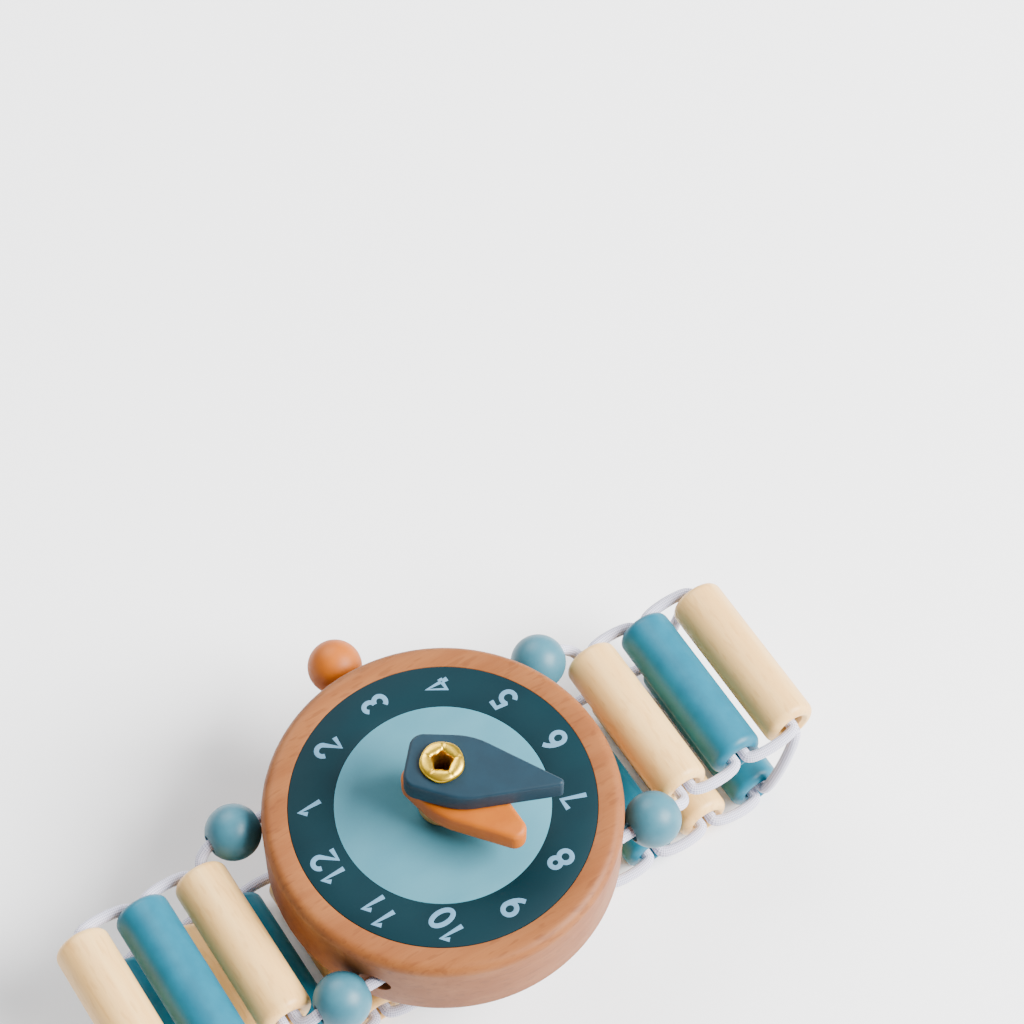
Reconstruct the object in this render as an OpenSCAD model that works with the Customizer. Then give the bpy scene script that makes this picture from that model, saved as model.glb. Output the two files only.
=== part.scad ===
// Wooden toy watch on an elastic bead strap.
// The origin is the centre of the case's back face: +Z goes out of the dial,
// +Y towards 12 o'clock and +X towards the crown at 3 o'clock.

/* [Case] */
// Diameter of the turned case
case_dia = 40; // [36:0.5:48]
// Thickness of the case
case_thick = 10.7; // [9.5:0.1:14]
// Radius of the rounded rims of the case
case_rim_round = 1.3; // [0.5:0.1:2]
// Diameter of the two cross holes that the elastic runs through
cross_hole_dia = 3; // [2.4:0.1:3.4]
// Distance from the middle of the case to each cross hole
cross_hole_x = 11.8; // [11.3:0.1:12.6]
// Height of the cross holes over the back face
cross_hole_z = 5; // [4.6:0.1:6]

/* [Dial] */
// Outer diameter of the dark printed ring
dial_dia = 34; // [28:0.5:35]
// Width of the dark printed ring
dial_ring_width = 5; // [3:0.5:7]
// Depth of the printed layer, flush with the face
dial_depth = 0.5; // [0.2:0.1:1]
// Fine gap round each printed layer
dial_gap = 0.04; // [0.02:0.01:0.1]

/* [Hands] */
// Thickness of the hour hand
hour_thick = 3.2; // [2:0.1:3.5]
// Distance from the pivot to the tip of the hour hand
hour_reach = 11.1; // [9:0.1:12.5]
// Half the width of the hour hand at its widest
hour_half_w = 4; // [3:0.1:4.6]
// Distance from the pivot to the back edge of the hour hand
hour_tail = 3.9; // [3:0.1:4.6]
// Radius of the blunt tip of the hour hand
hour_tip_r = 1.3; // [0.6:0.1:1.6]
// Direction that the hour hand points in, clockwise from 12 o'clock
hour_angle = 250; // [0:1:359]
// Thickness of the minute hand
minute_thick = 3; // [2:0.1:3.5]
// Distance from the pivot to the tip of the minute hand
minute_reach = 13.2; // [11:0.1:16]
// Half the width of the minute hand at its widest
minute_half_w = 4; // [3:0.1:4.6]
// Distance from the pivot to the back edge of the minute hand
minute_tail = 3.9; // [3:0.1:4.6]
// Radius of the tip of the minute hand
minute_tip_r = 0.5; // [0.3:0.1:1]
// Direction that the minute hand points in, clockwise from 12 o'clock
minute_angle = 221.8; // [0:0.2:359]
// Radius of the rounded back corners of both hands
hand_corner_r = 1.6; // [1:0.1:2]
// Free play above and below each hand
hand_play = 0.12; // [0.08:0.01:0.2]
// Height of the ring that lifts the hands off the dial
spacer_h = 3.3; // [2:0.1:4.5]
// Diameter of that ring
spacer_dia = 5.6; // [5.2:0.1:7]

/* [Rivet] */
// Outer diameter of the rivet's tube
rivet_dia = 3; // [2.6:0.1:3.3]
// Diameter of the hole through the rivet
rivet_bore = 1.9; // [1.4:0.1:2]
// Diameter over the rolled petals on top
petal_dia = 5; // [4.2:0.1:5.4]
// Height of the rolled petals
petal_h = 0.6; // [0.4:0.1:0.9]
// Depth of the flare round the hole on top
petal_flare = 0.35; // [0.1:0.05:0.4]
// Diameter of the round head at the back
rivet_head_dia = 5.4; // [4.8:0.1:6]
// Thickness of that head
rivet_head_h = 0.6; // [0.4:0.1:1]
// Depth that the head is sunk below the back face
rivet_sink = 0.3; // [0.1:0.1:0.8]
// Radial play of a hand or of the spacer on the rivet
pivot_play = 0.06; // [0.02:0.01:0.09]

/* [Crown] */
// Diameter of the crown bead
crown_dia = 6.7; // [5.5:0.1:8]
// Height of the crown over the back face
crown_z = 5.35; // [4.6:0.05:6]
// Gap between the crown bead and the case
crown_gap = 0.2; // [0.1:0.05:0.5]
// Diameter of the crown's peg
peg_dia = 2.4; // [1.8:0.1:2.8]
// Depth of the peg in the case
peg_in_case = 5.2; // [4:0.1:5.3]
// Depth of the peg in the crown bead
peg_in_bead = 4.4; // [3:0.1:5]
// Radial play of the peg in the case
peg_play = 0.05; // [0.02:0.01:0.09]

/* [Lug beads] */
// Diameter of the four round beads against the case
lug_dia = 6.4; // [5.4:0.1:6.8]
// Diameter of the hole through a round bead
lug_bore = 2.2; // [1.9:0.1:2.6]
// Gap between a round bead and the case
lug_gap = 0.15; // [0.1:0.05:0.4]

/* [Strap beads] */
// Diameter of a strap bead
bead_dia = 6.3; // [5.6:0.1:7]
// Length of a strap bead
bead_len = 20.1; // [19:0.1:21.4]
// Radius of the rounded ends of a strap bead
bead_round = 1; // [0.5:0.1:1.1]
// Free gap between neighbouring strap beads
bead_gap = 1.1; // [0.4:0.1:1.4]
// Gap between the floor of the case and the underside of the strap beads beside it
bead_lift = 0.2; // [0:0.1:1]
// Distance that a round bead nests past the rounded end of the first strap bead
lug_nest = 0.45; // [0:0.05:0.5]
// Play of the elastic in a strap bead's hole
bore_play = 0.15; // [0.1:0.05:0.25]
// Width of the countersink round a strap bead's hole
bore_sink = 0.4; // [0.2:0.05:0.45]
// Clear height of the wrist opening under the case, with the strap at rest
wrist_gap = 6; // [5:0.5:12]

/* [Elastic] */
// Diameter of the elastic cord
cord_dia = 1.3; // [1:0.05:1.4]
// Gap between the two passes of the elastic inside a bead
cord_gap = 0.08; // [0.05:0.01:0.15]
// Distance that the elastic stands out past the end of a strap bead
cord_bulge = 1.0; // [0.9:0.05:1.4]
// Diameter of the knot in the elastic
knot_dia = 2.5; // [2.2:0.05:2.7]
// Length of the knot
knot_len = 3.2; // [2.5:0.1:4]

/* [Hidden] */
SIDE_BEADS = 3;
REAR_BEADS = 11;
STRAP_BEADS = 2 * SIDE_BEADS + REAR_BEADS;
SIDES = ["six", "twelve"];
ENDS = ["near", "far"];
two_digits = function(n) n < 10 ? str("0", n) : str(n);

$fn = 64;

// Overrun of every cut past the face that it opens
cut_over = case_thick / 10;

// Diameter of the dial's pale centre
dial_centre_dia = dial_dia - 2 * dial_ring_width;

// Radius of the case, of a strap bead, of a round bead and of the elastic
case_r = case_dia / 2;
bead_r = bead_dia / 2;
lug_r = lug_dia / 2;
crown_r = crown_dia / 2;
cord_r = cord_dia / 2;

// Heights of the stack on the rivet
spacer_top = case_thick + spacer_h;
hour_z = spacer_top + hand_play;
minute_z = hour_z + hour_thick + hand_play;
petal_z = minute_z + minute_thick + hand_play;
rivet_top = petal_z + petal_h;
PETALS = 5;
petal_r_share = 0.3;

// The round beads lie against the case's wall, in line with the cross holes
lug_y = sqrt(pow(case_r + lug_gap + lug_r, 2) - pow(cross_hole_x, 2));
lug_half_bore = sqrt(pow(lug_r, 2) - pow(lug_bore / 2, 2));
cord_exit_y = lug_y + lug_half_bore;

// The strap's beads: a flat run on each side of the case and a flat rear run below
bead_pitch = bead_dia + bead_gap;
bead_z = bead_r + bead_lift;
first_bead_y = lug_y + sqrt(pow(lug_r + bead_r, 2) - pow(cross_hole_z - bead_z, 2)) - lug_nest;
rear_z = -wrist_gap - bead_r;

// Two passes of the elastic wind half a turn round each other inside a bead
PASS_STEPS = 3;
twist_r = (cord_r + cord_gap / 2) / cos(90 / PASS_STEPS);
bore_r = twist_r + cord_r + bore_play;

// Steps of a turn from one bead into the next, and how squarely the elastic leaves a bead
bulge_power_share = 0.7;
LINK_STEPS = 4;
CORD_SIDES = 8;
knot_round_share = 0.2;

// Places of the strap's beads in the YZ plane, in order along the elastic loop
function side_bead_y(n) = first_bead_y + (n - 1) * bead_pitch;
function rear_bead_y(n) = (n - (REAR_BEADS + 1) / 2) * bead_pitch;
function strap_place(i) =
    i < SIDE_BEADS ? [-side_bead_y(i + 1), bead_z]
    : i < SIDE_BEADS + REAR_BEADS ? [rear_bead_y(i - SIDE_BEADS + 1), rear_z]
    : [side_bead_y(STRAP_BEADS - i), bead_z];
function strap_neighbour(i) =
    i < 0 ? [-lug_y, cross_hole_z]
    : i > STRAP_BEADS - 1 ? [lug_y, cross_hole_z]
    : strap_place(i);

// Direction of the loop at a bead, and the direction square to it
function unit(v) = v / norm(v);
function along(i) = unit(strap_neighbour(i + 1) - strap_neighbour(i - 1));
function across(i) = [-along(i)[1], along(i)[0]];

function at_x(x, yz) = [x, yz[0], yz[1]];

// One pass through bead i, from its end at the side given by from_end (-1 near, 1 far)
function pass_points(i, from_end) = [
    for (k = [0:PASS_STEPS])
        let (turn = 180 * k / PASS_STEPS)
        at_x(
            from_end * bead_len * (1 / 2 - k / PASS_STEPS),
            strap_place(i) + twist_r * (-cos(turn) * along(i) - from_end * sin(turn) * across(i))
        )
];

// Points between bead i and the next one, past the ends of both beads on one side
function leaving(i) = strap_place(i) + twist_r * along(i);
function entering(i) = strap_place(i) - twist_r * along(i);
function out_share(turn) = pow(sin(turn), bulge_power_share);
function link_point(i, end, turn) = at_x(
    end * (bead_len / 2 + cord_bulge * out_share(turn)),
    leaving(i) + (entering(i + 1) - leaving(i)) * (1 - cos(turn)) / 2
);
function link_inner(i, end) = [
    for (k = [1:LINK_STEPS - 1]) link_point(i, end, 180 * k / LINK_STEPS)
];
function link_points(i, end) = [
    for (k = [0:LINK_STEPS]) link_point(i, end, 180 * k / LINK_STEPS)
];

// The elastic's way from the last bead's hole into the round bead, and through the case
function lug_turn(mouth, side, end) = [
    for (k = [1:LINK_STEPS - 1])
        let (turn = 90 * k / (LINK_STEPS - 1))
        at_x(
            end * (bead_len / 2 + (cross_hole_x - bead_len / 2) * out_share(turn)),
            mouth + ([side * cord_exit_y, cross_hole_z] - mouth) * (1 - cos(turn))
        )
];
function reversed(list) = [for (i = [len(list) - 1:-1:0]) list[i]];
function parity(n) = n % 2 == 0 ? 1 : -1;

SIDE_PARITY = parity(SIDE_BEADS - 1);

// Beads first to last in a row, starting with the pass that begins at the side from_end
function row_points(first, last, from_end, i = undef) =
    let (now = is_undef(i) ? first : i)
    let (start_end = from_end * parity(now - first))
    concat(
        pass_points(now, start_end),
        now == last ? [] : link_inner(now, -start_end),
        now == last ? [] : row_points(first, last, from_end, now + 1)
    );

// The two halves of a front cord, each between a turn of the strap and the middle of the case
function six_half(end) = concat(
    reversed(row_points(0, SIDE_BEADS - 1, end)),
    lug_turn(entering(0), -1, end)
);
function twelve_half(end) = concat(
    reversed(lug_turn(leaving(STRAP_BEADS - 1), 1, end)),
    reversed(row_points(STRAP_BEADS - SIDE_BEADS, STRAP_BEADS - 1, -end * SIDE_PARITY))
);
function six_start(end) = [end * SIDE_PARITY, 0, 0];
function knot_face(side) = [-cross_hole_x, side * knot_len / 2, cross_hole_z];

// Frames along a route, each turned as little as possible from the one before
function cross_frame(last_u, t) = unit(last_u - (last_u * t) * t);
function tangents(route, first_t, last_t) = [
    for (i = [0:len(route) - 1])
        i == 0 ? unit(first_t)
        : i == len(route) - 1 ? unit(last_t)
        : unit(unit(route[i + 1] - route[i]) + unit(route[i] - route[i - 1]))
];
function any_square(t) = abs(t[2]) < 1 / 2 ? unit(cross(t, [0, 0, 1])) : unit(cross(t, [1, 0, 0]));
function frames(ts, i = 0, last_u = undef) =
    let (u = is_undef(last_u) ? any_square(ts[0]) : cross_frame(last_u, ts[i]))
    i == len(ts) - 1 ? [u] : concat([u], frames(ts, i + 1, u));

// A round cord swept along a route as one closed solid, cut square to the given end directions
module swept_cord(route, first_t, last_t) {
    ts = tangents(route, first_t, last_t);
    us = frames(ts);
    rings = len(route);
    points = [
        for (i = [0:rings - 1])
            for (k = [0:CORD_SIDES - 1])
                let (turn = 360 * k / CORD_SIDES)
                route[i] + cord_r * (cos(turn) * us[i] + sin(turn) * cross(ts[i], us[i]))
    ];
    walls = [
        for (i = [0:rings - 2])
            for (k = [0:CORD_SIDES - 1])
                let (a = i * CORD_SIDES + k)
                let (b = i * CORD_SIDES + (k + 1) % CORD_SIDES)
                for (face = [[a, a + CORD_SIDES, b], [b, a + CORD_SIDES, b + CORD_SIDES]])
                    face
    ];
    caps = [
        [for (k = [0:CORD_SIDES - 1]) k],
        [for (k = [CORD_SIDES - 1:-1:0]) (rings - 1) * CORD_SIDES + k]
    ];
    polyhedron(points, concat(walls, caps));
}

// Outline corner rounded to radius r, as points of an arc between its two tangent points
ARC_STEPS = 8;
function corner_arc(before, at, after, r) =
    let (to_before = unit(before - at))
    let (to_after = unit(after - at))
    let (half = acos(to_before * to_after) / 2)
    let (centre = at + unit(to_before + to_after) * r / sin(half))
    let (start = at + to_before * r / tan(half) - centre)
    let (finish = at + to_after * r / tan(half) - centre)
    let (sweep_dir = sign(start[0] * finish[1] - start[1] * finish[0]))
    [
        for (k = [0:ARC_STEPS])
            let (turn = sweep_dir * (180 - 2 * half) * k / ARC_STEPS)
            centre + [
                start[0] * cos(turn) - start[1] * sin(turn),
                start[0] * sin(turn) + start[1] * cos(turn)
            ]
    ];
function rounded(corners, radii) = [
    for (i = [0:len(corners) - 1])
        let (n = len(corners))
        each corner_arc(corners[(i + n - 1) % n], corners[i], corners[(i + 1) % n], radii[i])
];

// A hand pointing along +Y with its pivot at the origin: a kite with rounded corners
module hand(reach, half_w, tail, tip_r, thick) {
    tail_w_share = 0.78;
    shoulder_share = 0.2;
    shoulder_r_share = 2;
    tip_c = reach - tip_r;
    rise = tip_c - reach * shoulder_share;
    tip_half = atan(half_w / rise) - asin(tip_r / norm([half_w, rise]));
    tip_y = tip_c + tip_r / sin(tip_half);
    corners = [
        [0, tip_y],
        [-half_w, reach * shoulder_share],
        [-half_w * tail_w_share, -tail],
        [half_w * tail_w_share, -tail],
        [half_w, reach * shoulder_share]
    ];
    radii = [
        tip_r,
        half_w * shoulder_r_share,
        hand_corner_r,
        hand_corner_r,
        half_w * shoulder_r_share
    ];
    difference() {
        linear_extrude(thick) polygon(rounded(corners, radii));
        translate([0, 0, -cut_over])
            cylinder(h = thick + 2 * cut_over, d = rivet_dia + 2 * pivot_play);
    }
}

// Half the section of a round bar with rounded ends, to be turned about its axis
module bar_section(r, h, edge) {
    square([r - edge, h]);
    translate([0, edge]) square([r, h - 2 * edge]);
    for (y = [edge, h - edge])
        translate([r - edge, y]) intersection() {
            circle(edge);
            translate([0, -edge]) square([edge, 2 * edge]);
        }
}

module case() {
    color([0.76, 0.55, 0.43]) difference() {
        rotate_extrude() bar_section(case_r, case_thick, case_rim_round);
        translate([0, 0, case_thick - dial_depth])
            cylinder(h = dial_depth + cut_over, d = dial_dia + 2 * dial_gap);
        translate([0, 0, -cut_over])
            cylinder(h = case_thick + 2 * cut_over, d = rivet_dia + 2 * pivot_play);
        translate([0, 0, -cut_over])
            cylinder(h = rivet_sink + rivet_head_h + cut_over, d = rivet_head_dia + 4 * pivot_play);
        for (end = [-1, 1])
            translate([end * cross_hole_x, case_r, cross_hole_z])
                rotate([90, 0, 0]) cylinder(h = case_dia, d = cross_hole_dia);
        translate([case_r - peg_in_case - crown_gap, 0, crown_z])
            rotate([0, 90, 0])
                cylinder(h = peg_in_case + crown_gap + cut_over, d = peg_dia + 2 * peg_play);
    }
}

module print_layer(outer_d, inner_d) {
    translate([0, 0, case_thick - dial_depth]) difference() {
        cylinder(h = dial_depth, d = outer_d);
        translate([0, 0, -cut_over]) cylinder(h = dial_depth + 2 * cut_over, d = inner_d);
    }
}

module dial_ring() {
    color([0.14, 0.32, 0.37]) print_layer(dial_dia, dial_centre_dia);
}

module dial_disc() {
    color([0.55, 0.70, 0.75])
        print_layer(dial_centre_dia - 2 * dial_gap, rivet_dia + 2 * pivot_play);
}

module hand_spacer() {
    color([0.83, 0.66, 0.48]) translate([0, 0, case_thick]) difference() {
        cylinder(h = spacer_h, d = spacer_dia);
        translate([0, 0, -cut_over])
            cylinder(h = spacer_h + 2 * cut_over, d = rivet_dia + 2 * pivot_play);
    }
}

module hour_hand() {
    color([0.84, 0.56, 0.31]) translate([0, 0, hour_z]) rotate([0, 0, -hour_angle])
        hand(hour_reach, hour_half_w, hour_tail, hour_tip_r, hour_thick);
}

module minute_hand() {
    color([0.27, 0.40, 0.48]) translate([0, 0, minute_z]) rotate([0, 0, -minute_angle])
        hand(minute_reach, minute_half_w, minute_tail, minute_tip_r, minute_thick);
}

// Hollow rivet: a sunk head at the back, the tube, and rolled petals over the minute hand
module rivet() {
    petal_r = petal_dia * petal_r_share;
    color([0.88, 0.72, 0.30]) difference() {
        union() {
            translate([0, 0, rivet_sink]) cylinder(h = rivet_head_h, d = rivet_head_dia);
            translate([0, 0, rivet_sink + rivet_head_h / 2])
                cylinder(h = petal_z + petal_h / 2 - rivet_sink - rivet_head_h / 2, d = rivet_dia);
            translate([0, 0, petal_z]) linear_extrude(petal_h)
                for (k = [0:PETALS - 1])
                    rotate([0, 0, 360 * k / PETALS])
                        translate([petal_dia / 2 - petal_r, 0]) circle(petal_r);
        }
        cylinder(h = rivet_top + cut_over, d = rivet_bore);
        translate([0, 0, rivet_top - petal_flare])
            cylinder(h = 2 * petal_flare, d1 = rivet_bore, d2 = rivet_bore + 4 * petal_flare);
    }
}

// The crown bead's hole takes the peg, which is glued in it
module crown_bead() {
    color([0.86, 0.57, 0.31])
        translate([case_r + crown_gap + crown_r, 0, crown_z]) difference() {
            sphere(crown_r);
            rotate([0, -90, 0])
                translate([0, 0, crown_r - peg_in_bead]) cylinder(h = crown_dia, d = peg_dia);
        }
}

module crown_peg() {
    color([0.85, 0.72, 0.54]) translate([case_r - peg_in_case, 0, crown_z]) rotate([0, 90, 0])
        cylinder(h = peg_in_case + crown_gap + peg_in_bead, d = peg_dia);
}

module lug_bead(side, end) {
    color([0.37, 0.59, 0.64]) translate([end * cross_hole_x, side * lug_y, cross_hole_z])
        rotate([90, 0, 0]) difference() {
            sphere(lug_r);
            cylinder(h = lug_dia + 2 * cut_over, d = lug_bore, center = true);
        }
}

// Strap bead i of the loop: odd places are teal, even places are natural wood
module strap_bead(i) {
    place = strap_place(i);
    color(i % 2 == 0 ? [0.90, 0.81, 0.68] : [0.35, 0.64, 0.74])
        translate([-bead_len / 2, place[0], place[1]]) rotate([0, 90, 0]) difference() {
            rotate_extrude() bar_section(bead_r, bead_len, bead_round);
            translate([0, 0, -cut_over]) cylinder(h = bead_len + 2 * cut_over, r = bore_r);
            for (end = [0, 1])
                translate([0, 0, end * bead_len]) rotate([180 * end, 0, 0])
                    translate([0, 0, -bore_sink])
                        cylinder(h = 2 * bore_sink, r1 = bore_r + 2 * bore_sink, r2 = bore_r);
        }
}

// The far cord is whole through the case, and the near cord's ends are tied in the knot
module elastic_front() {
    color([0.90, 0.90, 0.93]) {
        swept_cord(concat(six_half(1), twelve_half(1)), six_start(1), -six_start(1));
        swept_cord(concat(six_half(-1), [knot_face(-1)]), six_start(-1), [0, 1, 0]);
        swept_cord(concat([knot_face(1)], twelve_half(-1)), [0, 1, 0], -six_start(-1));
    }
}

module elastic_links() {
    color([0.90, 0.90, 0.93])
        for (end = [-1, 1])
            for (i = [SIDE_BEADS - 1, SIDE_BEADS + REAR_BEADS - 1])
                swept_cord(link_points(i, end), [end, 0, 0], [-end, 0, 0]);
}

module elastic_rear() {
    color([0.90, 0.90, 0.93])
        for (end = [-1, 1])
            swept_cord(
                row_points(SIDE_BEADS, SIDE_BEADS + REAR_BEADS - 1, end),
                [-end, 0, 0],
                [-end * parity(REAR_BEADS - 1), 0, 0]
            );
}

module elastic_knot() {
    color([0.90, 0.90, 0.93])
        translate([-cross_hole_x, knot_len / 2, cross_hole_z]) rotate([90, 0, 0])
            rotate_extrude() bar_section(knot_dia / 2, knot_len, knot_dia * knot_round_share);
}

case();
dial_ring();
dial_disc();
hand_spacer();
hour_hand();
minute_hand();
rivet();
crown_bead();
crown_peg();
for (side = [0, 1]) for (end = [0, 1])
    lug_bead(2 * side - 1, 2 * end - 1);
for (n = [1:SIDE_BEADS])
    strap_bead(n - 1);
for (n = [1:SIDE_BEADS])
    strap_bead(STRAP_BEADS - n);
for (n = [1:REAR_BEADS])
    strap_bead(SIDE_BEADS + n - 1);
elastic_front();
elastic_links();
elastic_rear();
elastic_knot();
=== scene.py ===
"""A wooden toy watch on an elastic bead strap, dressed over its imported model.

The origin is the centre of the case's back face: +Z goes out of the dial, +Y towards 12 o'clock and +X
towards the crown at 3 o'clock. Sizes are in millimetres times MM, so every object is in metres.
"""
from __future__ import annotations

import logging
import math
from dataclasses import dataclass, field, replace
from enum import Enum
from typing import Callable, Sequence

import bmesh
import bpy
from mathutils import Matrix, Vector


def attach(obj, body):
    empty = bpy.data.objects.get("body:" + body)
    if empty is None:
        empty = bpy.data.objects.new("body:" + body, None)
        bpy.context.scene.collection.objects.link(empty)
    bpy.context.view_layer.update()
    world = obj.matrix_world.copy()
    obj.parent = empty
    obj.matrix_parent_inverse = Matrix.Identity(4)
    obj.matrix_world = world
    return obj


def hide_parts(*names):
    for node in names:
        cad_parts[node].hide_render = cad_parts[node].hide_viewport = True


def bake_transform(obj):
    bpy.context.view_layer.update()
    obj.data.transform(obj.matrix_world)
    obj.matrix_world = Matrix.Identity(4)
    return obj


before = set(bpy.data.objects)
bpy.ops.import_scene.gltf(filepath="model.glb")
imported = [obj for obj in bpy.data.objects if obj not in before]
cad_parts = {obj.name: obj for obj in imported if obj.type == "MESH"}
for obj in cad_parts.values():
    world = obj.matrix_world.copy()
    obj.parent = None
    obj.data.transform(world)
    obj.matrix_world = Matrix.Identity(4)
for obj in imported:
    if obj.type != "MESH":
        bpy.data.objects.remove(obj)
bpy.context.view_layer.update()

MM = 0.001
# Corners nearer than this to a place are on it
NEAR = 0.001 * MM
LOG = logging.getLogger("toy_watch")
Colour = tuple[float, float, float]
Piece = bpy.types.Object
Material = bpy.types.Material


def srgb(red: int, green: int, blue: int) -> Colour:
    """Turn a colour of 0 to 255 a channel into Blender's linear values, by the sRGB curve."""
    shares = (channel / 255 for channel in (red, green, blue))
    return tuple(share / 12.92 if share <= 0.0404 else ((share + 0.055) / 1.055) ** 2.4 for share in shares)


class Axis(Enum):
    """The direction that a turned piece's own axis points in."""

    UP = (0.0, 0.0, 0.0)
    ALONG = (-math.pi / 2, 0.0, 0.0)
    ACROSS = (0.0, math.pi / 2, 0.0)


class Side(Enum):
    """The two sides of the case that carry the strap."""

    SIX = -1
    TWELVE = 1


class End(Enum):
    """The two ends of a strap bead: far is on the crown's side."""

    NEAR = -1
    FAR = 1


# Materials


class Wire:
    """A node's output that Python's operators work on by adding Math nodes."""

    def __init__(self, bench: Bench, socket: bpy.types.NodeSocket) -> None:
        """Keep the socket and the bench that owns it."""
        self.bench = bench
        self.socket = socket

    def maths(self, operation: str, first: object, second: object) -> Wire:
        """Add one Math node by Blender's name of its operation."""
        return self.bench.node("ShaderNodeMath", {"operation": operation}, {0: first, 1: second})

    def __add__(self, other: object) -> Wire:
        """Add a value or wire."""
        return self.maths("ADD", self, other)

    __radd__ = __add__

    def __mul__(self, other: object) -> Wire:
        """Multiply by a value or wire."""
        return self.maths("MULTIPLY", self, other)

    __rmul__ = __mul__

    def __sub__(self, other: object) -> Wire:
        """Subtract a value or wire."""
        return self.maths("SUBTRACT", self, other)

    def __rsub__(self, other: object) -> Wire:
        """Subtract this wire from a value."""
        return self.maths("SUBTRACT", other, self)

    def sine(self) -> Wire:
        """Return the sine of this wire."""
        return self.maths("SINE", self, 0.0)

    def step(self, low: float, high: float) -> Wire:
        """Rise smoothly from 0 at the low value to 1 at the high one."""
        settings = {"interpolation_type": "SMOOTHSTEP"}
        return self.bench.node("ShaderNodeMapRange", settings, {0: self, 1: low, 2: high, 3: 0.0, 4: 1.0})

    def around(self, middle: float, spread: float) -> Wire:
        """Bring a pattern of 0 to 1 to a spread of values around a middle one."""
        return self * spread + (middle - spread / 2)


class Bench:
    """One material's node tree, with the calls that fill it."""

    def __init__(self, name: str, fixed: dict[str, object]) -> None:
        """Start a material.

        Args:
            name: The material's name.
            fixed: The shader's values that are the same all over the surface.
        """
        self.material = bpy.data.materials.new(name)
        self.material.use_nodes = True
        self.nodes = self.material.node_tree.nodes
        self.links = self.material.node_tree.links
        self.shader = self.nodes["Principled BSDF"]
        self.feed(self.shader, fixed)

    def feed(self, node: bpy.types.Node, inputs: dict[object, object]) -> None:
        """Set or link a node's inputs.

        Args:
            node: The node.
            inputs: A value or a wire for each named or numbered socket.
        """
        for socket, value in inputs.items():
            if isinstance(value, Wire):
                self.links.new(value.socket, node.inputs[socket])
            else:
                node.inputs[socket].default_value = value

    def node(
        self, kind: str, settings: dict[str, object], inputs: dict[object, object], output: object = 0
    ) -> Wire:
        """Add any node.

        Args:
            kind: The node's type.
            settings: Its own settings, which are set first.
            inputs: A value or a wire for each named or numbered socket.
            output: The output to return.

        Returns:
            That output as a wire.
        """
        node = self.nodes.new(kind)
        for name, value in settings.items():
            setattr(node, name, value)
        self.feed(node, inputs)
        return Wire(self, node.outputs[output])

    def noise(self, often: Sequence[float], detail: float = 2.0, roughness: float = 0.5) -> Wire:
        """Add a noise pattern that reads the object's coordinates.

        Args:
            often: How often it repeats in a millimetre along each axis.
            detail: How many finer layers it holds.
            roughness: How strong they are.

        Returns:
            The noise, around 0.5.
        """
        where = self.node("ShaderNodeTexCoord", {}, {}, "Object")
        scale = [repeats / MM for repeats in often]
        place = self.node("ShaderNodeMapping", {}, {"Vector": where, "Scale": scale})
        values = {"Vector": place, "Scale": 1.0, "Detail": detail, "Roughness": roughness}
        return self.node("ShaderNodeTexNoise", {}, values)

    def grain(
        self, run: Vector, across: float, along: float, detail: float = 2.0, roughness: float = 0.5
    ) -> Wire:
        """Add a noise pattern that repeats less often along the grain, which runs one way, than across it."""
        return self.noise((Vector((1, 1, 1)) - run) * across + run * along, detail, roughness)

    def mix(self, share: object, first: object, second: object) -> Wire:
        """Blend two colours or wires by the share of the second that shows."""
        first, second = ((*c, 1.0) if isinstance(c, tuple) else c for c in (first, second))
        return self.node("ShaderNodeMix", {"data_type": "RGBA"}, {0: share, 6: first, 7: second}, 2)

    def finish(
        self, colour: Wire, roughness: object, height: Wire | None = None, depth: float = 0.0
    ) -> Material:
        """Connect the shader.

        Args:
            colour: The base colour.
            roughness: The roughness.
            height: The surface's small heights, from 0 to 1.
            depth: What a height of 1 stands for, in metres.

        Returns:
            The finished material.
        """
        self.feed(self.shader, {"Base Color": colour, "Roughness": roughness})
        if height is not None:
            bump = self.node("ShaderNodeBump", {}, {"Strength": 1.0, "Distance": depth, "Height": height})
            self.feed(self.shader, {"Normal": bump})
        return self.material


@dataclass(frozen=True)
class Timber:
    """Bare turned wood: broad streaks, short flecks and fine pores along the grain."""

    name: str
    light: Colour
    dark: Colour
    fleck: Colour
    fleck_share: float
    grain: tuple[float, float, float]
    roughness: float
    coat: float = 0.0

    def make(self) -> Material:
        """Build the material and return it."""
        fixed = {"Coat Weight": self.coat, "Coat Roughness": 0.3, "Specular IOR Level": 0.2}
        bench = Bench(self.name, fixed)
        run = Vector(self.grain)
        streak = bench.grain(run, across=0.45, along=0.03, detail=3.0, roughness=0.6)
        fleck = bench.grain(run, across=1.9, along=0.42, detail=1.0).step(0.56, 0.68)
        pore = bench.grain(run, across=7.0, along=0.5)
        tone = bench.mix(streak.step(0.3, 0.7), self.light, self.dark)
        tone = bench.mix(fleck * self.fleck_share, tone, self.fleck)
        tone = bench.mix(pore.step(0.45, 0.75) * (self.fleck_share / 2), tone, self.fleck)
        gloss = streak.around(self.roughness, spread=0.12)
        return bench.finish(tone, gloss, pore * 0.7 + fleck * 0.3, depth=0.006 * MM)


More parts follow.
